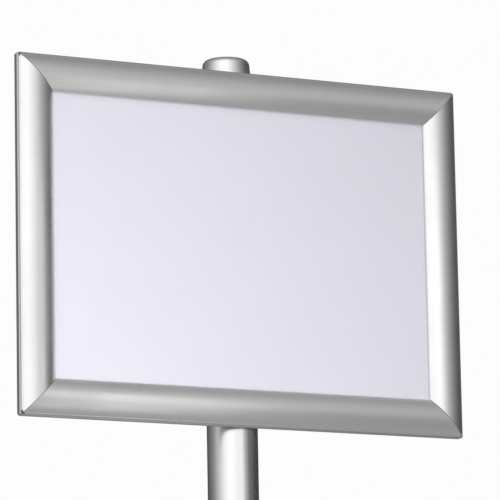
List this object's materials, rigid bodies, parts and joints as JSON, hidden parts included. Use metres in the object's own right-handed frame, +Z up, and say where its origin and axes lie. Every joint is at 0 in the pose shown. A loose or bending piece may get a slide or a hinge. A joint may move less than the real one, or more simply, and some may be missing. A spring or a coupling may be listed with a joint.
{
  "type": "sign stand",
  "caption": "Floor-standing sign stand: a landscape poster frame with hinged snap-open edge covers, fixed to a round capped post on a weighted round base.",
  "frame": {"origin": "on the floor, on the post's axis, at the centre of the base ring's underside", "axes": "+Z up along the post, -Y towards the reader in front of the sign, +X to the reader's right"},
  "size_m": [0.327, 0.3, 1.148],
  "materials": {
    "rail_aluminium": "silver anodised, satin",
    "cover_aluminium": "silver anodised, satin",
    "zinc_plate": "zinc plated",
    "spring_steel": "blued spring steel",
    "panel_board": "fine matt grain",
    "sign_paper": "blank pale sheet",
    "clear_film": "clear anti-glare",
    "saddle_nylon": "moulded, fine texture",
    "post_metal": "bright satin",
    "cap_metal": "bright satin, turned",
    "collar_metal": "bright satin, turned",
    "base_metal": "spun satin",
    "weight_iron": "black paint over casting",
    "floor_rubber": "moulded black rubber"
  },
  "bodies": {
    "stand": {"back_rail_top": "rail_aluminium", "back_rail_bottom": "rail_aluminium", "back_rail_left": "rail_aluminium", "back_rail_right": "rail_aluminium", "corner_key_top_left": "zinc_plate", "corner_key_top_right": "zinc_plate", "corner_key_bottom_left": "zinc_plate", "corner_key_bottom_right": "zinc_plate", "snap_spring_top_left": "spring_steel", "snap_spring_top_right": "spring_steel", "snap_spring_bottom_left": "spring_steel", "snap_spring_bottom_right": "spring_steel", "snap_spring_left_upper": "spring_steel", "snap_spring_left_lower": "spring_steel", "snap_spring_right_upper": "spring_steel", "snap_spring_right_lower": "spring_steel", "back_panel": "panel_board", "insert_sheet": "sign_paper", "clear_cover": "clear_film", "saddle_upper": "saddle_nylon", "saddle_lower": "saddle_nylon", "frame_screws": "zinc_plate", "rivet_nuts": "zinc_plate", "post_tube": "post_metal", "post_cap": "cap_metal", "floor_ring": "floor_rubber", "base_cover": "base_metal", "base_weight": "weight_iron", "post_collar": "collar_metal", "foot_plug": "zinc_plate", "foot_washer": "zinc_plate", "foot_bolt": "zinc_plate"},
    "top_cover": {"snap_cover_top": "cover_aluminium"},
    "bottom_cover": {"snap_cover_bottom": "cover_aluminium"},
    "left_cover": {"snap_cover_left": "cover_aluminium"},
    "right_cover": {"snap_cover_right": "cover_aluminium"}
  },
  "joints": [
    {"name": "top_cover_hinge", "type": "hinge", "parent": "stand", "child": "top_cover", "pos_m": [0, -0.0226, 1.1331], "axis": [-1, 0, 0], "range_deg": [0, 90]},
    {"name": "bottom_cover_hinge", "type": "hinge", "parent": "stand", "child": "bottom_cover", "pos_m": [0, -0.0226, 0.8969], "axis": [1, 0, 0], "range_deg": [0, 90]},
    {"name": "left_cover_hinge", "type": "hinge", "parent": "stand", "child": "left_cover", "pos_m": [-0.1616, -0.0226, 1.015], "axis": [0, 0, -1], "range_deg": [0, 90]},
    {"name": "right_cover_hinge", "type": "hinge", "parent": "stand", "child": "right_cover", "pos_m": [0.1616, -0.0226, 1.015], "axis": [0, 0, 1], "range_deg": [0, 90]}
  ]
}
